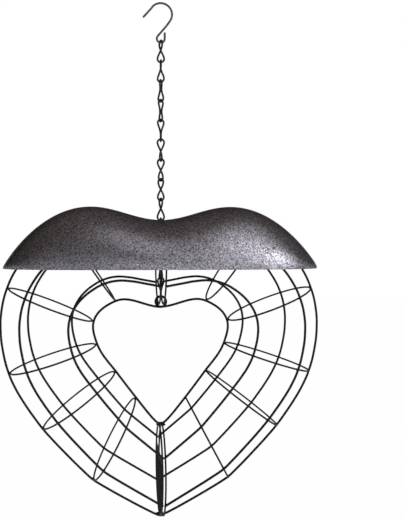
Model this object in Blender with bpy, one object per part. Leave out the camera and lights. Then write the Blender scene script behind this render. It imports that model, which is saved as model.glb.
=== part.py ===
"""Hanging suet feeder: a heart-shaped tube of wire in two halves, under a pressed roof, on a chain.

Metres, +Z up, +X to the right as seen from the front, -Y towards the front. The origin is the
point inside the hook's crook that bears on whatever the feeder hangs from.
"""

import math

import bmesh
import bpy
from mathutils import Vector

# Clearances
WELD_GAP = 0.0003  # between wires that are welded or that bear on each other
CUT_OVERRUN = 0.004

# S-hook
HOOK_WIRE_D = 0.0020
CROOK_RADIUS = 0.0100
HOOK_DROP = 0.0340  # from the bearing point to the middle of the wire under the lower eye
HOOK_EYE_RADIUS = 0.0035
CROOK_TIP_LENGTH = 0.0105
HOOK_EYE_TIP_LENGTH = 0.0048
CROOK_START_DEG = 150
HOOK_EYE_END_DEG = 370

# Chain of figure-eight links
LINK_WIRE_D = 0.0015
LINK_PITCH = 0.0175
LINK_LOOP_WIDTH = 0.0074
LINK_WAIST = 0.0034
LINK_TWIST_DEG = 112.5  # from the plane of a link's upper loop to that of its lower loop
LINK_TWIST_LENGTH = 0.0060
LINK_FLANK_SHARES = (0.65, 0.30)  # of the way from the waist to a loop's middle
LOOP_STEPS = 3  # in a quarter of a loop
SQUARE_LINK = 2  # the link whose upper loop lies front to back
FREE_LINKS = 9  # above the roof
HELD_LINKS = 4  # inside the cage

# Wire cage
RING_WIRE_D = 0.0013
LONG_WIRE_D = 0.0017
RING_D = 0.0775
TOP_RING_X = 0.0020  # from the middle plane to each top end ring
LOWER_RING_X = 0.0013
INNER_HALF_WIDTH = 0.0600
INNER_HEIGHT = 0.1076  # from the upper to the lower end ring's innermost point
EYE_RADIUS = 0.0046
EYE_SWEEP_DEG = 285
HOOK_BEND_LENGTH = 0.0035
WIRE_OVERRUN = 0.0007  # past a top end ring
FILL_WIRE_OVERRUN = 0.0050  # of the outermost wire above the first ring
LONG_WIRES = 6
# where each ring crosses the innermost wire: across the half width, and down the height
INNER_PATH_SHARES = ((0.667, -0.024), (0.987, 0.140), (0.935, 0.330), (0.660, 0.554), (0.365, 0.770))
RING_ANGLES_DEG = (55.5, 21.5, -17.5, -37.0, -62.0)  # of each ring's plane above the level
TOP_RISE_DEG = 8.5
# how far the long wires' bend at each ring reaches, from the cleft to the tip, where 1 is a round arc's
BEND_SHARES = (1, 1, 1, 1, 0.5, 0.4, 0.4)

# Divider of upright bars in the left half's lower end ring
DIVIDER_WIRE_D = 0.0013
DIVIDER_BARS = 5
DIVIDER_HEIGHT_SHARE = 0.68  # of the ring's height, at the cross bar

# Roof
ROOF_LENGTH = 0.2750
ROOF_OVERHANG = 0.0105  # of the rim past the rings, at the front and back
ROOF_SHEET = 0.0008
ROOF_SKIRT = 0.0010
ROOF_HEIGHT = 0.0532  # of each crown over the bend at the rim
CROWN_HEADROOM = 0.0131  # from the cage's top to the crowns
CROWN_X = 0.0620
CHAIN_HOLE_D = 0.0130
ROOF_END_POWER = 0.87
ROOF_PLAN_POWER = 3.0

# Smoothness of the meshes
WIRE_SIDES_RESOLUTION = 1
HOOK_SIDES_RESOLUTION = 2
RING_STEPS = 20
SPAN_STEPS = 4
ARC_STEP_DEG = 24
ROOF_ROWS = 38
ROOF_COLUMNS = 12
HOLE_STEPS = 24

# Colours
BLACK_WIRE = ((0.012, 0.012, 0.013), 0.42, 0.6)
PLATED_LINK = ((0.020, 0.019, 0.020), 0.38, 0.8)
HAMMERED_PEWTER = ((0.105, 0.098, 0.105), 0.40, 0.75)

# Derived heights and radii
CROSSING = LINK_WIRE_D + WELD_GAP  # between the middles of two wires that hang in each other
HOOK_CROSSING = (HOOK_WIRE_D + LINK_WIRE_D) / 2 + WELD_GAP
FIRST_CONTACT_Z = -HOOK_DROP + HOOK_CROSSING / 2
LINK_HALF_LENGTH = (LINK_PITCH + CROSSING) / 2
LOOP_RADIUS = (LINK_LOOP_WIDTH - LINK_WIRE_D) / 2
LINK_STEP_DEG = LINK_TWIST_DEG - 90  # from one link to the next
STAND_OFF = (RING_WIRE_D + LONG_WIRE_D) / 2 + WELD_GAP
RING_RADIUS = RING_D / 2
LANE = (LONG_WIRE_D + WELD_GAP) / 2  # the halves' own wires pass the middle side by side


def contact_z(index):
    """Height of the contact under link number index, where 0 is the hook's eye."""
    return FIRST_CONTACT_Z - index * LINK_PITCH


LAST_LINK_BOTTOM_Z = contact_z(FREE_LINKS + HELD_LINKS) - CROSSING / 2
EYE_SEAT_RADIUS = LOOP_RADIUS - (LINK_WIRE_D + LONG_WIRE_D) / 2 - WELD_GAP
EYE_TOP_Z = LAST_LINK_BOTTOM_Z + LOOP_RADIUS - math.sqrt(EYE_SEAT_RADIUS**2 - LANE**2)
EYE_Z = EYE_TOP_Z - EYE_RADIUS
RING_SEAT_RADIUS = EYE_RADIUS - STAND_OFF
CLEFT_Z = EYE_Z - math.sqrt(RING_SEAT_RADIUS**2 - TOP_RING_X**2)
LOWER_VERTEX_Z = CLEFT_Z - INNER_HEIGHT
TIP_Z = LOWER_VERTEX_Z - RING_D
# the top end rings stop just short of the link that swings above them
FREE_LINK_BOTTOM_Z = contact_z(FREE_LINKS) - CROSSING / 2
RING_REACH = LOOP_RADIUS + (LINK_WIRE_D + RING_WIRE_D) / 2 + WELD_GAP
TOP_RING_Z = FREE_LINK_BOTTOM_Z + LOOP_RADIUS - math.sqrt(RING_REACH**2 - TOP_RING_X**2)
TOP_RING_RADIUS = (TOP_RING_Z - CLEFT_Z) / 2
# the roof rests on the top end rings, just outside its chain hole
ROOF_DEPTH = max(RING_D, 2 * TOP_RING_RADIUS) + RING_WIRE_D + 2 * ROOF_OVERHANG
HOLE_RADIUS = CHAIN_HOLE_D / 2
SEAT_DROP = TOP_RING_RADIUS - math.sqrt(TOP_RING_RADIUS**2 - HOLE_RADIUS**2)
ROOF_INNER_DEPTH = ROOF_DEPTH / 2 - ROOF_SHEET
ROOF_CURVE_DROP = ROOF_HEIGHT * (1 - math.sqrt(1 - (HOLE_RADIUS / ROOF_INNER_DEPTH) ** 2))
CLEFT_TOP_Z = TOP_RING_Z - SEAT_DROP + RING_WIRE_D / 2 + WELD_GAP + ROOF_CURVE_DROP + ROOF_SHEET
FIRST_RING_RISE = (RING_D + STAND_OFF) * math.sin(math.radians(RING_ANGLES_DEG[0]))
FIRST_RING_TOP_Z = CLEFT_Z - INNER_HEIGHT * INNER_PATH_SHARES[0][1] + FIRST_RING_RISE
CAGE_TOP_Z = max(FIRST_RING_TOP_Z + FILL_WIRE_OVERRUN, TOP_RING_Z)
RIM_Z = CAGE_TOP_Z + CROWN_HEADROOM - ROOF_HEIGHT
CLEFT_HEIGHT = CLEFT_TOP_Z - RIM_Z


def clear_scene():
    for item in list(bpy.data.objects):
        bpy.data.objects.remove(item, do_unlink=True)


def finish(item, look):
    """Give an object its own Principled material."""
    colour, roughness, metallic = look
    material = bpy.data.materials.new(item.name + "_finish")
    material.use_nodes = True
    shader = material.node_tree.nodes["Principled BSDF"]
    shader.inputs["Base Color"].default_value = (*colour, 1)
    shader.inputs["Roughness"].default_value = roughness
    shader.inputs["Metallic"].default_value = metallic
    item.data.materials.append(material)


def place(item, origin, parent=None):
    """Put an object's origin at a world point, under a parent if it has one."""
    bpy.context.scene.collection.objects.link(item)
    item.location = origin
    if parent:
        item.parent = parent
        item.location = Vector(origin) - parent.location


def wire(name, points, diameter, look, origin=(0, 0, 0), parent=None, closed=False, fine=False):
    """A round wire along world points, as a curve with a bevel."""
    curve = bpy.data.curves.new(name, "CURVE")
    curve.dimensions = "3D"
    curve.bevel_depth = diameter / 2
    curve.bevel_resolution = HOOK_SIDES_RESOLUTION if fine else WIRE_SIDES_RESOLUTION
    curve.use_fill_caps = True
    spline = curve.splines.new("POLY")
    spline.points.add(len(points) - 1)
    for target, point in zip(spline.points, points):
        target.co = (*(Vector(point) - Vector(origin)), 1)
    spline.use_cyclic_u = closed
    spline.use_smooth = True
    item = bpy.data.objects.new(name, curve)
    place(item, origin, parent)
    finish(item, look)
    return item


def arc(centre, radius, start_deg, end_deg, y=0.0, step_deg=ARC_STEP_DEG):
    """Points on an arc in a plane that faces the front, both ends included."""
    steps = max(1, math.ceil(abs(end_deg - start_deg) / step_deg))
    points = []
    for step in range(steps + 1):
        turn = math.radians(start_deg + (end_deg - start_deg) * step / steps)
        points.append(Vector((centre[0] + radius * math.cos(turn), y, centre[1] + radius * math.sin(turn))))
    return points


def span(start, start_way, end, end_way, steps=SPAN_STEPS, shares=(1, 1), end_handle=None):
    """Points of a bent stretch of wire between two crossings, without its first point."""
    turn = start_way.angle(end_way)
    handle = (end - start).length / (3 * math.cos(turn / 4) ** 2)
    a = start + start_way * (handle * shares[0])
    b = end - end_way * (end_handle or handle * shares[1])
    points = []
    for step in range(1, steps + 1):
        t = step / steps
        s = 1 - t
        points.append(start * s**3 + a * (3 * s * s * t) + b * (3 * s * t * t) + end * t**3)
    return points


def build_hook():
    upper = (0.0, HOOK_WIRE_D / 2 - CROOK_RADIUS)
    lower = (0.0, -HOOK_DROP + HOOK_EYE_RADIUS)
    lean = math.degrees(math.asin((CROOK_RADIUS + HOOK_EYE_RADIUS) / (upper[1] - lower[1])))
    crook = arc(upper, CROOK_RADIUS, CROOK_START_DEG, -lean)
    eye = arc(lower, HOOK_EYE_RADIUS, 180 - lean, HOOK_EYE_END_DEG)
    tip_way = (crook[0] - crook[1]).normalized()
    end_way = (eye[-1] - eye[-2]).normalized()
    tip = crook[0] + tip_way * CROOK_TIP_LENGTH
    end = eye[-1] + end_way * HOOK_EYE_TIP_LENGTH
    return wire("s_hook", [tip] + crook + eye + [end], HOOK_WIRE_D, BLACK_WIRE, fine=True)


def link_outline():
    """Half of a link's wire, from its top to its bottom: the offset from its middle, and the height."""
    middle = LINK_HALF_LENGTH - LOOP_RADIUS
    waist = (LINK_WAIST - LINK_WIRE_D) / 2
    half = []
    for step in range(LOOP_STEPS + 1):
        turn = math.pi / 2 * step / LOOP_STEPS
        half.append((LOOP_RADIUS * math.sin(turn), middle + LOOP_RADIUS * math.cos(turn)))
    for share in LINK_FLANK_SHARES:
        swell = (1 - math.cos(math.pi * share)) / 2
        half.append((waist + (LOOP_RADIUS - waist) * swell, middle * share))
    return half + [(offset, -height) for offset, height in reversed(half)]


def build_link(index, parent=None, origin_index=None):
    """Link number index from the hook: its upper loop at right angles to the loop that it hangs in."""
    top_angle = math.radians(90 - LINK_STEP_DEG * (index - SQUARE_LINK))
    twist = -math.radians(LINK_TWIST_DEG)
    centre_z = (contact_z(index - 1) + contact_z(index)) / 2

    def turned(offset, height):
        share = min(1.0, max(0.0, 0.5 - height / LINK_TWIST_LENGTH))
        ease = share * share * (3 - 2 * share)
        angle = top_angle + twist * ease
        return Vector((offset * math.cos(angle), offset * math.sin(angle), centre_z + height))

    half = link_outline()
    points = [turned(offset, height) for offset, height in half]
    points += [turned(-offset, height) for offset, height in reversed(half[1:-1])]
    pivot = contact_z(index - 1 if origin_index is None else origin_index)
    name = f"chain_link_{index:02d}"
    return wire(name, points, LINK_WIRE_D, PLATED_LINK, (0, 0, pivot), parent, closed=True)


def crossings(side):
    """Each ring's middle, outward way, forward way along the tube and radius, from the cleft to the tip."""
    found = [(Vector((side * TOP_RING_X, 0, CLEFT_Z + TOP_RING_RADIUS)), 90, TOP_RING_RADIUS)]
    for (across, down), angle in zip(INNER_PATH_SHARES, RING_ANGLES_DEG):
        turn = math.radians(angle)
        inner = Vector((INNER_HALF_WIDTH * across, 0, CLEFT_Z - INNER_HEIGHT * down))
        middle = inner + Vector((math.cos(turn), 0, math.sin(turn))) * (RING_RADIUS + STAND_OFF)
        found.append((Vector((side * middle.x, 0, middle.z)), angle, RING_RADIUS))
    found.append((Vector((side * LOWER_RING_X, 0, LOWER_VERTEX_Z - RING_RADIUS)), -90, RING_RADIUS))
    rings = []
    for middle, angle, radius in found:
        turn = math.radians(angle)
        out = Vector((side * math.cos(turn), 0, math.sin(turn)))
        ahead = Vector((side * math.sin(turn), 0, -math.cos(turn)))
        rings.append((middle, out, ahead, radius))
    return rings


def build_ring(name, ring, parent):
    middle, out, _, radius = ring
    across = Vector((0, 1, 0))
    points = []
    for step in range(RING_STEPS):
        angle = 2 * math.pi * step / RING_STEPS
        points.append(middle + (out * math.cos(angle) + across * math.sin(angle)) * radius)
    return wire(name, points, RING_WIRE_D, BLACK_WIRE, parent.location, parent, closed=True)


def arc_way(before, here, after):
    """Direction at the middle one of three points, along the arc through them."""
    near, far = here - before, after - here
    return (near.normalized() * far.length + far.normalized() * near.length).normalized()


def wire_crossings(side, angle_deg):
    """Where one long wire crosses each ring, and its direction there."""
    turn = math.radians(angle_deg)
    across = Vector((0, 1, 0))
    marks = []
    for middle, out, ahead, radius in crossings(side):
        point = middle + (out * math.cos(turn) + across * math.sin(turn)) * (radius + STAND_OFF)
        marks.append([point, ahead])
    for before, here, after in zip(marks, marks[1:], marks[2:]):
        here[1] = arc_way(before[0], here[0], after[0])
    rise = math.radians(TOP_RISE_DEG)
    marks[0][1] = Vector((side * math.cos(rise), 0, math.sin(rise)))
    marks[-1][1] = (marks[-1][0] - marks[-2][0]).normalized()
    return marks


def follow(marks, shares):
    """Points of a long wire through its crossings, whose bends reach as far as their shares say."""
    points = [marks[0][0]]
    for start, end, near, far in zip(marks, marks[1:], shares, shares[1:]):
        points += span(*start, *end, shares=(near, far))
    return points


def end_hook(side, last, height, vertex_z, turn_sign):
    """The end of an inner or outer wire: level across both end rings, then round the far one."""
    lane = side * LANE
    own = Vector((side * LOWER_RING_X, lane, height))
    far = (-side * LOWER_RING_X, vertex_z)
    way_in = Vector((-side, 0, 0))
    points = span(*last, own, way_in, 2 * SPAN_STEPS, BEND_SHARES[-2:], HOOK_BEND_LENGTH)
    start, end = (90, 90 + side * 90) if turn_sign > 0 else (-90, -90 - side * 90)
    return points + arc(far, STAND_OFF, start, end, lane, ARC_STEP_DEG)


def build_side_wire(name, side, angle_deg, parent):
    """One of the four wires at the front and back, from the cleft to the tip."""
    marks = wire_crossings(side, angle_deg)
    points = follow(marks, BEND_SHARES)
    points[0] = points[0] - marks[0][1] * WIRE_OVERRUN
    # the lower end stops beside its twin of the other half
    end, way = marks[-1]
    room = LOWER_RING_X - (WELD_GAP + LONG_WIRE_D * abs(way.z)) / 2
    points[-1] = end + way * (room / abs(way.x))
    return wire(name, points, LONG_WIRE_D, BLACK_WIRE, parent.location, parent)


def build_inner_wire(name, side, parent):
    """The innermost wire: an eye round both top end rings, and a hook over the lower ones."""
    marks = wire_crossings(side, 180)[1:-1]
    lane = side * LANE
    bottom = Vector((0, lane, EYE_Z - EYE_RADIUS))
    start = -90 - side * EYE_SWEEP_DEG
    points = arc((0, EYE_Z), EYE_RADIUS, start, -90, lane)
    points += span(bottom, Vector((side, 0, 0)), marks[0][0], marks[0][1], 2 * SPAN_STEPS)
    points += follow(marks, BEND_SHARES[1:-1])[1:]
    points += end_hook(side, marks[-1], LOWER_VERTEX_Z + STAND_OFF, LOWER_VERTEX_Z, 1)
    return wire(name, points, LONG_WIRE_D, BLACK_WIRE, parent.location, parent)


def build_outer_wire(name, side, parent):
    """The outermost wire: from the first ring, below the filling gap, to a hook under the tip."""
    marks = wire_crossings(side, 0)[1:-1]
    points = follow(marks, BEND_SHARES[1:-1])
    points[0] = points[0] - marks[0][1] * FILL_WIRE_OVERRUN
    points += end_hook(side, marks[-1], TIP_Z - STAND_OFF, TIP_Z, -1)
    return wire(name, points, LONG_WIRE_D, BLACK_WIRE, parent.location, parent)


def build_half(word, side, parent):
    places = ("top_end", "1", "2", "3", "4", "5", "lower_end")
    for place_name, ring in zip(places, crossings(side)):
        build_ring(f"{word}_ring_{place_name}", ring, parent)
    build_outer_wire(f"{word}_outer_wire", side, parent)
    build_inner_wire(f"{word}_inner_wire", side, parent)
    step = 360 / LONG_WIRES
    for row, angle in (("outer", step), ("inner", 2 * step)):
        build_side_wire(f"{word}_front_{row}_wire", side, -angle, parent)
        build_side_wire(f"{word}_back_{row}_wire", side, angle, parent)


def roof_outline(x):
    """Half depth of the rim, and height of the ridge over it, at a distance from the middle."""
    half_length = ROOF_LENGTH / 2
    x = min(abs(x), half_length)
    depth = ROOF_DEPTH / 2 * (1 - (x / half_length) ** ROOF_PLAN_POWER) ** (1 / ROOF_PLAN_POWER)
    if x < CROWN_X:
        rise = (1 - math.cos(math.pi * x / CROWN_X)) / 2
        return depth, CLEFT_HEIGHT + (ROOF_HEIGHT - CLEFT_HEIGHT) * rise
    outward = (x - CROWN_X) / (half_length - CROWN_X)
    return depth, ROOF_HEIGHT * (1 - outward**2) ** ROOF_END_POWER


def build_roof(parent):
    """The pressed roof: a two-lobed shell with a straight skirt, and a hole for the chain."""
    shell = bmesh.new()
    rows = []
    for row in range(ROOF_ROWS + 1):
        x = -ROOF_LENGTH / 2 * math.cos(math.pi * row / ROOF_ROWS)
        depth, height = roof_outline(x)
        if row in (0, ROOF_ROWS):
            rows.append([shell.verts.new((x, 0, 0))] * (ROOF_COLUMNS + 1))
            continue
        line = []
        for column in range(ROOF_COLUMNS + 1):
            angle = math.pi * column / ROOF_COLUMNS
            line.append(shell.verts.new((x, -depth * math.cos(angle), height * math.sin(angle))))
        rows.append(line)
    for near, far in zip(rows, rows[1:]):
        for column in range(ROOF_COLUMNS):
            corners = [near[column], far[column], far[column + 1], near[column + 1]]
            shell.faces.new(list(dict.fromkeys(corners)))
    rim = [edge for edge in shell.edges if edge.is_boundary]
    skirt = bmesh.ops.extrude_edge_only(shell, edges=rim)["geom"]
    lowered = [item for item in skirt if isinstance(item, bmesh.types.BMVert)]
    bmesh.ops.translate(shell, verts=lowered, vec=(0, 0, -ROOF_SKIRT))
    bmesh.ops.recalc_face_normals(shell, faces=shell.faces)
    if max(shell.faces, key=lambda face: face.calc_center_median().z).normal.z < 0:
        bmesh.ops.reverse_faces(shell, faces=shell.faces)
    for vertex in shell.verts:
        vertex.co.z += RIM_Z - CLEFT_TOP_Z
    mesh = bpy.data.meshes.new("roof")
    shell.to_mesh(mesh)
    shell.free()
    mesh.shade_smooth()
    roof = bpy.data.objects.new("roof", mesh)
    place(roof, (0, 0, CLEFT_TOP_Z), parent)
    thickness = roof.modifiers.new("sheet", "SOLIDIFY")
    thickness.thickness = ROOF_SHEET
    thickness.offset = -1
    thickness.use_even_offset = True
    cutter = build_hole_cutter(roof)
    hole = roof.modifiers.new("chain_hole", "BOOLEAN")
    hole.object = cutter
    hole.operation = "DIFFERENCE"
    hole.solver = "EXACT"
    finish(roof, HAMMERED_PEWTER)
    return roof


def build_hole_cutter(parent):
    mesh = bpy.data.meshes.new("chain_hole_cutter")
    shape = bmesh.new()
    bmesh.ops.create_cone(shape, cap_ends=True, segments=HOLE_STEPS,
                          radius1=HOLE_RADIUS, radius2=HOLE_RADIUS, depth=2 * CUT_OVERRUN)
    shape.to_mesh(mesh)
    shape.free()
    cutter = bpy.data.objects.new("chain_hole_cutter", mesh)
    place(cutter, parent.location, parent)
    cutter.hide_render = True
    cutter.display_type = "WIRE"
    return cutter


def build_divider(parent):
    """Upright bars and a cross bar inside the left half's lower end ring."""
    reach = RING_RADIUS - (RING_WIRE_D + DIVIDER_WIRE_D) / 2 - WELD_GAP
    middle_z = LOWER_VERTEX_Z - RING_RADIUS
    bar_z = TIP_Z + RING_D * DIVIDER_HEIGHT_SHARE
    top_z = bar_z - DIVIDER_WIRE_D - WELD_GAP
    x = -LOWER_RING_X
    half_span = math.sqrt(reach**2 - (bar_z - middle_z) ** 2)
    ends = [(x, -half_span, bar_z), (x, half_span, bar_z)]
    wire("divider_cross_bar", ends, DIVIDER_WIRE_D, BLACK_WIRE, parent.location, parent)
    for bar in range(DIVIDER_BARS):
        y = half_span * ((2 * bar + 1) / DIVIDER_BARS - 1)
        ends = [(x, y, middle_z - math.sqrt(reach**2 - y**2)), (x, y, top_z)]
        wire(f"divider_bar_{bar + 1}", ends, DIVIDER_WIRE_D, BLACK_WIRE, parent.location, parent)


def main():
    clear_scene()
    build_hook()
    for index in range(1, FREE_LINKS + 1):
        build_link(index)
    pivot = bpy.data.objects.new("cage_pivot", None)
    place(pivot, (0, 0, contact_z(FREE_LINKS)))
    for index in range(FREE_LINKS + 1, FREE_LINKS + HELD_LINKS + 1):
        build_link(index, pivot, FREE_LINKS)
    build_half("left", -1, pivot)
    build_half("right", 1, pivot)
    build_divider(pivot)
    build_roof(None)


main()
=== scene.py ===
import math

import bmesh
import bpy
from mathutils import Matrix, Vector


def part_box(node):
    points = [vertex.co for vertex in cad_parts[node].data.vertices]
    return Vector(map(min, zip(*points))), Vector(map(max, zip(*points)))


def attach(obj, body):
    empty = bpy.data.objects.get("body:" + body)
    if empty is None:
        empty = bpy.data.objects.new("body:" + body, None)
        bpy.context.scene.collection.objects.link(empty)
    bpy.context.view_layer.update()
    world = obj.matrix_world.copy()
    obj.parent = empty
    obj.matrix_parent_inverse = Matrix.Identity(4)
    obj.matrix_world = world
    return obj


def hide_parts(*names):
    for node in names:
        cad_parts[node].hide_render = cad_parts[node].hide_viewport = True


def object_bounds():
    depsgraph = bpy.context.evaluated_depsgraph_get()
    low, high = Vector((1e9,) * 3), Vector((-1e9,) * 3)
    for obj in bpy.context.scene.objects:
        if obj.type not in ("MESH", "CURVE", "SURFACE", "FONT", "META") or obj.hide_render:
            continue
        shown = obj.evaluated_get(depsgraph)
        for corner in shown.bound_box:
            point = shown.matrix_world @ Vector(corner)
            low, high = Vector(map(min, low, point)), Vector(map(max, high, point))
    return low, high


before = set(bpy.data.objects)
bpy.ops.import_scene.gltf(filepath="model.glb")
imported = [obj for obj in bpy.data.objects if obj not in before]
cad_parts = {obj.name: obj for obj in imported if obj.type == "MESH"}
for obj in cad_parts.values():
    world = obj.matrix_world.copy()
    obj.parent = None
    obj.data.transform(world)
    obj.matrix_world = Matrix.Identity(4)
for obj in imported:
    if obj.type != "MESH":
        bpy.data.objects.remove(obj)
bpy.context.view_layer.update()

# Photograph and camera
PHOTO_WIDTH = 402
PHOTO_HEIGHT = 520
PIXEL = 0.000886  # metres across one pixel of the photo, in the feeder's middle plane
CENTRE_COLUMN = 160.8  # of the feeder's origin
TOP_ROW = 4.3  # of the feeder's origin
AXIS_COLUMN = 151.5  # straight ahead of the camera
HORIZON_ROW = 240  # level with the camera
CAMERA_DISTANCE = 0.656
CAMERA_TURN_DEG = 3.7
SENSOR = 0.036
METRES_TO_MM = 1000

# Stage
FLOOR_GAP = 0.060
FLOOR_SIZE = 6.0
STAGE_COLOUR = (0.90, 0.90, 0.90, 1)
STAGE_ROUGHNESS = 0.8
FLOOR_WHITE_SHARE = 0.99
ROOM_STRENGTH = 0.55
# Colours of the room by the height of the way out to it, where 0 is level and 1 is straight up
ROOM_STOPS = (
    (0.10, (1.0, 1.0, 1.0)),
    (0.20, (0.032, 0.026, 0.021)),
    (0.50, (0.135, 0.108, 0.088)),
    (0.90, (0.245, 0.196, 0.160)),
)

# Lights: degrees to the right of the front and above the level, then width, height and power
LIGHT_DISTANCE = 1.25
LIGHT_AIM = (0, 0, -0.21)
LIGHTS = {
    "overhead": (40, 52, 0.90, 0.90, 3.8),
    "key": (46, 15, 0.12, 0.45, 7.2),
    "front": (27, 35, 0.30, 0.30, 2.0),
    "spot": (15, 15, 0.12, 0.12, 0.7),
    "fill": (12, 2, 0.45, 0.30, 1.1),
    "left": (-30, 20, 0.90, 0.90, 0.7),
}

# Hammertone lacquer of the roof: scales are per metre, and each stop is a place with its colour
MOTTLE = {"Scale": 1000.0, "Detail": 1.0, "Roughness": 0.5, "Distortion": 1.4}
CELLS = {"Scale": 760.0, "Randomness": 1.0}
CELL_WARP = {"Scale": 600.0, "Detail": 2.0, "Roughness": 0.6}
CELL_WARP_SHARE = 0.004
TONE_PATCHES = {"Scale": 22.0, "Detail": 3.0}
ISLAND_STOPS = (
    (0.38, (0.038, 0.036, 0.041)),
    (0.50, (0.148, 0.145, 0.166)),
    (0.62, (0.325, 0.318, 0.362)),
)
TONE_STOPS = ((0.30, (0.84, 0.82, 0.82)), (0.70, (1.0, 1.0, 1.0)))
GLOSS_STOPS = ((0.35, (0.37, 0.37, 0.37)), (0.65, (0.28, 0.28, 0.28)))
HAMMER_BUMP = {"Strength": 0.20, "Distance": 0.0005}
HAMMER_SHINE = {
    "Metallic": 0.85,
    "Specular Tint": (0.2, 0.2, 0.2, 1),
    "Coat Weight": 0.12,
    "Coat Roughness": 0.18,
}
NEW_STOP_PLACE = 0.5

# Black lacquers of the wires: dark and pale colour, roughness and specular level
BLACK_WIRE = ((0.003, 0.003, 0.003), (0.007, 0.007, 0.008), 0.45, 0.14)
BLACK_CHAIN = ((0.004, 0.0035, 0.0035), (0.014, 0.012, 0.011), 0.36, 0.25)
BLACK_HOOK = ((0.016, 0.015, 0.015), (0.050, 0.048, 0.047), 0.30, 0.50)
DULLEST_TIMES = 1.5
COLOUR_PLACES = (0.35, 0.70)
DULL_PLACES = (0.30, 0.75)
WEAR_PATCHES = {"Scale": 90.0, "Detail": 4.0, "Roughness": 0.6}
PEEL = {"Scale": 1400.0, "Detail": 2.0}
PEEL_BUMP = {"Strength": 0.12, "Distance": 0.0002}

# Roof, where the frame doesn't give it
CLEFT_HEIGHT = 0.04148
CROWN_X = 0.0620
ROOF_SHEET = 0.0008
ROOF_SKIRT = 0.0010
ROOF_END_POWER = 0.87
ROOF_PLAN_POWER = 3.0
CHAIN_HOLE_D = 0.0130
ROOF_ROWS = 180
ROOF_COLUMNS = 64
HOLE_SIDES = 48
SHARP_DEG = 40

# Wires
WIRE_RESOLUTION = 4
POINT_RESOLUTION = 6
WELD_SHARE = 0.62
WELD_LENGTH = 0.0011
WELD_REACH = 0.0030
WELD_SIDES = 10
# Diameter of each solid, and of the round wire in its place. The links, rings and long wires are drawn
# thicker, which takes up the clearance between the solids. The hook is drawn thinner, so that its first
# link clears it at the limits of its swing.
HOOK_WIRE_D = (0.0020, 0.0019)
LINK_WIRE_D = (0.0015, 0.00176)
RING_WIRE_D = (0.0013, 0.00156)
DIVIDER_WIRE_D = (0.0013, 0.00156)
LONG_WIRE_D = (0.0017, 0.00206)
HOOK_SIDES = 8
WIRE_SIDES = 6
LINKS = 13
FREE_LINKS = 9
MERGE_DISTANCE = 0.000001
SIDE_ALLOWANCE = 1.05
SMALLEST_SPREAD = 1e-18


def material(name):
    """A material with its shader, and a helper that adds nodes to it."""
    made = bpy.data.materials.new(name)
    made.use_nodes = True
    tree = made.node_tree
    shader = tree.nodes["Principled BSDF"]

    def add(kind, **values):
        node = tree.nodes.new("ShaderNode" + kind)
        for key, value in values.items():
            if hasattr(node, key):
                setattr(node, key, value)
            else:
                node.inputs[key].default_value = value
        return node

    return made, tree, shader, add


def set_stops(node, stops):
    """Give a new colour ramp these stops."""
    elements = node.color_ramp.elements
    while len(elements) < len(stops):
        elements.new(NEW_STOP_PLACE)
    for element, (place, colour) in zip(elements, stops):
        element.position = place
        element.color = (*colour, 1)


def ramp(add, tree, source, stops):
    """A colour ramp with these stops, driven by the source."""
    node = add("ValToRGB")
    tree.links.new(source, node.inputs[0])
    set_stops(node, stops)
    return node


def hammered_finish():
    """Hammertone lacquer: pale metallic islands between dark, slightly sunk veins."""
    made, tree, shader, add = material("hammered_lacquer")
    link = tree.links.new
    place = add("TexCoord")
    warp = add("TexNoise", **CELL_WARP)
    link(place.outputs["Object"], warp.inputs["Vector"])
    mottle = add("TexNoise", **MOTTLE)
    link(place.outputs["Object"], mottle.inputs["Vector"])
    cells = add("TexVoronoi", **CELLS)
    cells.feature = "DISTANCE_TO_EDGE"
    shift = add("MixRGB", Fac=CELL_WARP_SHARE)
    shift.blend_type = "ADD"
    link(place.outputs["Object"], shift.inputs[1])
    link(warp.outputs["Color"], shift.inputs[2])
    link(shift.outputs[0], cells.inputs["Vector"])
    islands = ramp(add, tree, mottle.outputs["Fac"], ISLAND_STOPS)
    patches = add("TexNoise", **TONE_PATCHES)
    link(place.outputs["Object"], patches.inputs["Vector"])
    tone = ramp(add, tree, patches.outputs["Fac"], TONE_STOPS)
    colour = add("MixRGB", Fac=1.0)
    colour.blend_type = "MULTIPLY"
    link(islands.outputs[0], colour.inputs[1])
    link(tone.outputs[0], colour.inputs[2])
    link(colour.outputs[0], shader.inputs["Base Color"])
    gloss = ramp(add, tree, mottle.outputs["Fac"], GLOSS_STOPS)
    link(gloss.outputs[0], shader.inputs["Roughness"])
    height = add("Math", operation="ADD")
    link(mottle.outputs["Fac"], height.inputs[0])
    link(cells.outputs["Distance"], height.inputs[1])
    bump = add("Bump", **HAMMER_BUMP)
    link(height.outputs[0], bump.inputs["Height"])
    link(bump.outputs[0], shader.inputs["Normal"])
    for key, value in HAMMER_SHINE.items():
        shader.inputs[key].default_value = value
    return made


def black_lacquer(name, dark, pale, rough, specular):
    """Black lacquer on wire: a faint orange peel, with dull and glossy patches."""
    made, tree, shader, add = material(name)
    link = tree.links.new
    place = add("TexCoord")
    patches = add("TexNoise", **WEAR_PATCHES)
    link(place.outputs["Object"], patches.inputs["Vector"])
    colour = ramp(add, tree, patches.outputs["Fac"], tuple(zip(COLOUR_PLACES, (dark, pale))))
    link(colour.outputs[0], shader.inputs["Base Color"])
    roughness = ((rough,) * 3, (rough * DULLEST_TIMES,) * 3)
    dull = ramp(add, tree, patches.outputs["Fac"], tuple(zip(DULL_PLACES, roughness)))
    link(dull.outputs[0], shader.inputs["Roughness"])
    peel = add("TexNoise", **PEEL)
    link(place.outputs["Object"], peel.inputs["Vector"])
    bump = add("Bump", **PEEL_BUMP)
    link(peel.outputs["Fac"], bump.inputs["Height"])
    link(bump.outputs[0], shader.inputs["Normal"])
    shader.inputs["Specular IOR Level"].default_value = specular
    return made


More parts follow.
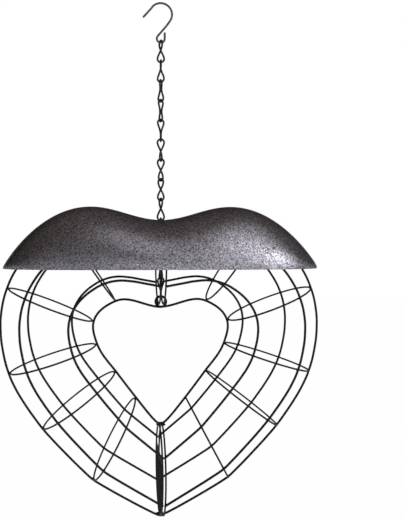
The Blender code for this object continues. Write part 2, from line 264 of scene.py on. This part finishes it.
def sections(node, diameter, sides):
    """Middles of a wire solid's sections, in order along it, and whether the wire is a closed loop."""
    shape = bmesh.new()
    shape.from_mesh(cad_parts[node].data)
    bmesh.ops.remove_doubles(shape, verts=shape.verts, dist=MERGE_DISTANCE)
    side = diameter * math.sin(math.pi / sides) * SIDE_ALLOWANCE
    near = {vertex: {edge.other_vert(vertex) for edge in vertex.link_edges} for vertex in shape.verts}
    groups = [group for group in side_groups(shape, side) if len(group) == sides]
    around = [set().union(*(near[vertex] for vertex in group)) - group for group in groups]
    ends = [group for group, beyond in zip(groups, around) if len(beyond) == sides]
    closed = not ends
    here = ends[0] if ends else groups[0]
    before = set()
    if closed:
        before = next(group for group in groups if group & around[0])
    order = []
    start = here
    while here and not (order and here & start):
        order.append(sum((vertex.co for vertex in here), Vector()) / len(here))
        here, before = set().union(*(near[vertex] for vertex in here)) - here - before, here
    shape.free()
    return order, closed


def side_groups(shape, side):
    """Sets of vertices that edges no longer than one side of a section join."""
    seen = set()
    groups = []
    for first in shape.verts:
        group = set()
        queue = [first]
        while queue:
            vertex = queue.pop()
            if vertex in seen:
                continue
            seen.add(vertex)
            group.add(vertex)
            queue += [edge.other_vert(vertex) for edge in vertex.link_edges if edge.calc_length() <= side]
        if group:
            groups.append(group)
    return groups


def build_wire(node, body, diameters, sides, finish):
    """A smooth round wire through the sections of the solid that it stands for."""
    solid_diameter, diameter = diameters
    points, closed = sections(node, solid_diameter, sides)
    curve = bpy.data.curves.new(node + "_wire", "CURVE")
    curve.dimensions = "3D"
    curve.resolution_u = POINT_RESOLUTION
    curve.bevel_depth = diameter / 2
    curve.bevel_resolution = WIRE_RESOLUTION
    curve.use_fill_caps = True
    spline = curve.splines.new("BEZIER")
    spline.bezier_points.add(len(points) - 1)
    for target, point in zip(spline.bezier_points, points):
        target.co = point
        target.handle_left_type = "AUTO"
        target.handle_right_type = "AUTO"
    spline.use_cyclic_u = closed
    item = bpy.data.objects.new(node + "_wire", curve)
    bpy.context.scene.collection.objects.link(item)
    curve.materials.append(finish)
    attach(item, body)
    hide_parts(node)
    return points


def nearest(points, others):
    """The gap and closest points of two open runs of stretches, and the first run's direction there."""
    best = None
    for a, b in zip(points, points[1:]):
        for c, d in zip(others, others[1:]):
            p, q = closest_on_stretches(a, b, c, d)
            gap = (p - q).length
            if best is None or gap < best[0]:
                best = (gap, p, q, (b - a).normalized())
    return best


def closest_on_stretches(a, b, c, d):
    """The closest points of the straight stretches from a to b and from c to d."""
    u, v, w = b - a, d - c, a - c
    uu, uv, vv, uw, vw = u.dot(u), u.dot(v), v.dot(v), u.dot(w), v.dot(w)
    spread = max(uu * vv - uv * uv, SMALLEST_SPREAD)
    s = min(1.0, max(0.0, (uv * vw - vv * uw) / spread))
    t = min(1.0, max(0.0, (uv * s + vw) / vv))
    s = min(1.0, max(0.0, (uv * t - uw) / uu))
    return a + u * s, c + v * t


def build_welds(word, rings, wires, finish):
    """Small weld beads where the long wires of one half cross its rings, as one mesh."""
    beads = bmesh.new()
    for ring in rings:
        for run in wires:
            gap, p, q, along = nearest(ring + ring[:1], run)
            if gap > WELD_REACH:
                continue
            out = (q - p).normalized()
            turn = Matrix((along, out.cross(along), out)).transposed().to_4x4()
            size = Matrix.Diagonal((WELD_LENGTH, WELD_LENGTH, gap * WELD_SHARE, 1))
            place = Matrix.Translation((p + q) / 2) @ turn @ size
            bmesh.ops.create_uvsphere(
                beads, u_segments=WELD_SIDES, v_segments=WELD_SIDES // 2, radius=1, matrix=place)
    mesh = bpy.data.meshes.new(word + "_welds")
    beads.to_mesh(mesh)
    beads.free()
    mesh.shade_smooth()
    mesh.materials.append(finish)
    item = bpy.data.objects.new(word + "_welds", mesh)
    bpy.context.scene.collection.objects.link(item)
    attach(item, "cage")


def build_wires(black, chain, hook):
    """All the wires, each on its body, and the welds of both halves of the cage."""
    build_wire("s_hook", "hook", HOOK_WIRE_D, HOOK_SIDES, hook)
    for index in range(1, LINKS + 1):
        body = f"link_{index}" if index <= FREE_LINKS else "cage"
        build_wire(f"chain_link_{index:02d}", body, LINK_WIRE_D, WIRE_SIDES, chain)
    for node in sorted(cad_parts):
        if node.startswith("divider"):
            build_wire(node, "cage", DIVIDER_WIRE_D, WIRE_SIDES, black)
    for word in ("left", "right"):
        rings = []
        runs = []
        for node in sorted(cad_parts):
            if node.startswith(word + "_ring"):
                rings.append(build_wire(node, "cage", RING_WIRE_D, WIRE_SIDES, black))
            elif node.startswith(word):
                runs.append(build_wire(node, "cage", LONG_WIRE_D, WIRE_SIDES, black))
        build_welds(word, rings, runs, black)


def roof_outline(x, half_length, half_depth, crown):
    """Half depth of the rim, and height of the ridge over it, at a distance from the middle."""
    x = min(abs(x), half_length)
    depth = half_depth * (1 - (x / half_length) ** ROOF_PLAN_POWER) ** (1 / ROOF_PLAN_POWER)
    if x < CROWN_X:
        rise = (1 - math.cos(math.pi * x / CROWN_X)) / 2
        return depth, CLEFT_HEIGHT + (crown - CLEFT_HEIGHT) * rise
    outward = (x - CROWN_X) / (half_length - CROWN_X)
    return depth, crown * (1 - outward**2) ** ROOF_END_POWER


def build_roof(finish):
    """The roof as a finer sheet than its solid, with the same outline, skirt and chain hole."""
    low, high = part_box("roof")
    half_length = (high[0] - low[0]) / 2
    half_depth = (high[1] - low[1]) / 2
    rim = low[2] + ROOF_SKIRT
    crown = high[2] - rim
    shell = bmesh.new()
    rows = []
    for row in range(ROOF_ROWS + 1):
        x = -half_length * math.cos(math.pi * row / ROOF_ROWS)
        depth, height = roof_outline(x, half_length, half_depth, crown)
        if row in (0, ROOF_ROWS):
            rows.append([shell.verts.new((x, 0, rim))] * (ROOF_COLUMNS + 1))
            continue
        line = []
        for column in range(ROOF_COLUMNS + 1):
            angle = math.pi * column / ROOF_COLUMNS
            line.append(shell.verts.new((x, -depth * math.cos(angle), rim + height * math.sin(angle))))
        rows.append(line)
    for near, far in zip(rows, rows[1:]):
        for column in range(ROOF_COLUMNS):
            corners = [near[column], far[column], far[column + 1], near[column + 1]]
            shell.faces.new(list(dict.fromkeys(corners)))
    edges = [edge for edge in shell.edges if edge.is_boundary]
    skirt = bmesh.ops.extrude_edge_only(shell, edges=edges)["geom"]
    lowered = [item for item in skirt if isinstance(item, bmesh.types.BMVert)]
    bmesh.ops.translate(shell, verts=lowered, vec=(0, 0, -ROOF_SKIRT))
    bmesh.ops.recalc_face_normals(shell, faces=shell.faces)
    if max(shell.faces, key=lambda face: face.calc_center_median().z).normal.z < 0:
        bmesh.ops.reverse_faces(shell, faces=shell.faces)
    mesh = bpy.data.meshes.new("roof_sheet")
    shell.to_mesh(mesh)
    shell.free()
    mesh.shade_smooth()
    roof = bpy.data.objects.new("roof_sheet", mesh)
    bpy.context.scene.collection.objects.link(roof)
    mesh.materials.append(finish)
    thickness = roof.modifiers.new("sheet", "SOLIDIFY")
    thickness.thickness = ROOF_SHEET
    thickness.offset = -1
    thickness.use_even_offset = True
    cut_hole(roof, rim + CLEFT_HEIGHT)
    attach(roof, "roof")
    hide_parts("roof")


def cut_hole(roof, height):
    """Cut the chain hole for good, so that no cutter stays in the scene."""
    tool = bmesh.new()
    bmesh.ops.create_cone(
        tool, cap_ends=True, segments=HOLE_SIDES, radius1=CHAIN_HOLE_D / 2, radius2=CHAIN_HOLE_D / 2,
        depth=CHAIN_HOLE_D, matrix=Matrix.Translation((0, 0, height)))
    mesh = bpy.data.meshes.new("hole_tool")
    tool.to_mesh(mesh)
    tool.free()
    cutter = bpy.data.objects.new("hole_tool", mesh)
    bpy.context.scene.collection.objects.link(cutter)
    hole = roof.modifiers.new("hole", "BOOLEAN")
    hole.object = cutter
    hole.operation = "DIFFERENCE"
    hole.solver = "EXACT"
    bpy.context.view_layer.update()
    graph = bpy.context.evaluated_depsgraph_get()
    cut = bpy.data.meshes.new_from_object(roof.evaluated_get(graph))
    roof.modifiers.clear()
    roof.data = cut
    bpy.data.objects.remove(cutter, do_unlink=True)
    cut.set_sharp_from_angle(angle=math.radians(SHARP_DEG))


def build_floor():
    """A pale floor below the hanging feeder, almost pure white to the camera and in mirrorings."""
    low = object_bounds()[0]
    floor = bpy.data.meshes.new("floor")
    shape = bmesh.new()
    bmesh.ops.create_grid(shape, x_segments=1, y_segments=1, size=FLOOR_SIZE / 2)
    shape.to_mesh(floor)
    shape.free()
    item = bpy.data.objects.new("floor", floor)
    item.location.z = low[2] - FLOOR_GAP
    bpy.context.scene.collection.objects.link(item)
    made, tree, shader, add = material("pale_floor")
    shader.inputs["Base Color"].default_value = STAGE_COLOUR
    shader.inputs["Roughness"].default_value = STAGE_ROUGHNESS
    path = add("LightPath")
    seen = add("Math", operation="MAXIMUM")
    tree.links.new(path.outputs["Is Camera Ray"], seen.inputs[0])
    tree.links.new(path.outputs["Is Glossy Ray"], seen.inputs[1])
    share = add("Math", operation="MULTIPLY")
    tree.links.new(seen.outputs[0], share.inputs[0])
    share.inputs[1].default_value = FLOOR_WHITE_SHARE
    glow = add("Emission", Strength=1.0)
    mix = add("MixShader")
    tree.links.new(share.outputs[0], mix.inputs[0])
    tree.links.new(shader.outputs[0], mix.inputs[1])
    tree.links.new(glow.outputs[0], mix.inputs[2])
    tree.links.new(mix.outputs[0], tree.nodes["Material Output"].inputs["Surface"])
    floor.materials.append(made)


def build_surround():
    """White to the camera. To all else a room, white below, dark above the level and paler at the top."""
    world = bpy.context.scene.world or bpy.data.worlds.new("surround")
    bpy.context.scene.world = world
    world.use_nodes = True
    nodes, link = world.node_tree.nodes, world.node_tree.links.new
    nodes.clear()
    out = nodes.new("ShaderNodeOutputWorld")
    path = nodes.new("ShaderNodeLightPath")
    white = nodes.new("ShaderNodeBackground")
    white.inputs["Color"].default_value = (1, 1, 1, 1)
    room = nodes.new("ShaderNodeBackground")
    mirrored = nodes.new("ShaderNodeMath")
    mirrored.operation = "MAXIMUM"
    link(path.outputs["Is Glossy Ray"], mirrored.inputs[0])
    link(path.outputs["Is Transmission Ray"], mirrored.inputs[1])
    level = nodes.new("ShaderNodeMapRange")
    level.inputs["To Min"].default_value = ROOM_STRENGTH
    level.inputs["To Max"].default_value = 1.0
    link(mirrored.outputs[0], level.inputs["Value"])
    link(level.outputs[0], room.inputs["Strength"])
    place = nodes.new("ShaderNodeTexCoord")
    parts = nodes.new("ShaderNodeSeparateXYZ")
    link(place.outputs["Generated"], parts.inputs[0])
    sky = nodes.new("ShaderNodeValToRGB")
    link(parts.outputs["Z"], sky.inputs[0])
    set_stops(sky, ROOM_STOPS)
    link(sky.outputs[0], room.inputs["Color"])
    mix = nodes.new("ShaderNodeMixShader")
    link(path.outputs["Is Camera Ray"], mix.inputs[0])
    link(room.outputs[0], mix.inputs[1])
    link(white.outputs[0], mix.inputs[2])
    link(mix.outputs[0], out.inputs["Surface"])


def build_light(name, turn_deg, rise_deg, width, height, power):
    """A rectangular soft light round the feeder, which faces it."""
    turn, rise = math.radians(turn_deg), math.radians(rise_deg)
    out = Vector((math.sin(turn) * math.cos(rise), -math.cos(turn) * math.cos(rise), math.sin(rise)))
    lamp = bpy.data.lights.new(name, "AREA")
    lamp.shape = "RECTANGLE"
    lamp.size, lamp.size_y = width, height
    lamp.energy = power
    item = bpy.data.objects.new(name, lamp)
    item.location = Vector(LIGHT_AIM) + out * LIGHT_DISTANCE
    item.rotation_euler = (-out).to_track_quat("-Z", "Y").to_euler()
    bpy.context.scene.collection.objects.link(item)


def build_camera():
    """A level camera as far off as the photo's, with the frame shifted to the photo's framing."""
    turn = math.radians(CAMERA_TURN_DEG)
    ahead = Vector((math.sin(turn), math.cos(turn), 0))
    right = Vector((math.cos(turn), -math.sin(turn), 0))
    camera = bpy.data.cameras.new("camera")
    camera.sensor_width = SENSOR * METRES_TO_MM
    camera.lens = SENSOR * METRES_TO_MM * CAMERA_DISTANCE / (PIXEL * PHOTO_HEIGHT)
    camera.shift_x = (PHOTO_WIDTH / 2 - AXIS_COLUMN) / PHOTO_HEIGHT
    camera.shift_y = (HORIZON_ROW - PHOTO_HEIGHT / 2) / PHOTO_HEIGHT
    item = bpy.data.objects.new("camera", camera)
    item.location = right * (AXIS_COLUMN - CENTRE_COLUMN) * PIXEL - ahead * CAMERA_DISTANCE
    item.location.z = (TOP_ROW - HORIZON_ROW) * PIXEL
    item.rotation_euler = (math.pi / 2, 0, -turn)
    bpy.context.scene.collection.objects.link(item)
    bpy.context.scene.camera = item


build_camera()
black = black_lacquer("black_wire", *BLACK_WIRE)
chain = black_lacquer("chain_black", *BLACK_CHAIN)
hook = black_lacquer("hook_black", *BLACK_HOOK)
build_wires(black, chain, hook)
build_roof(hammered_finish())
build_floor()
build_surround()
for name, values in LIGHTS.items():
    build_light(name, *values)
bpy.context.scene.view_settings.view_transform = "Standard"
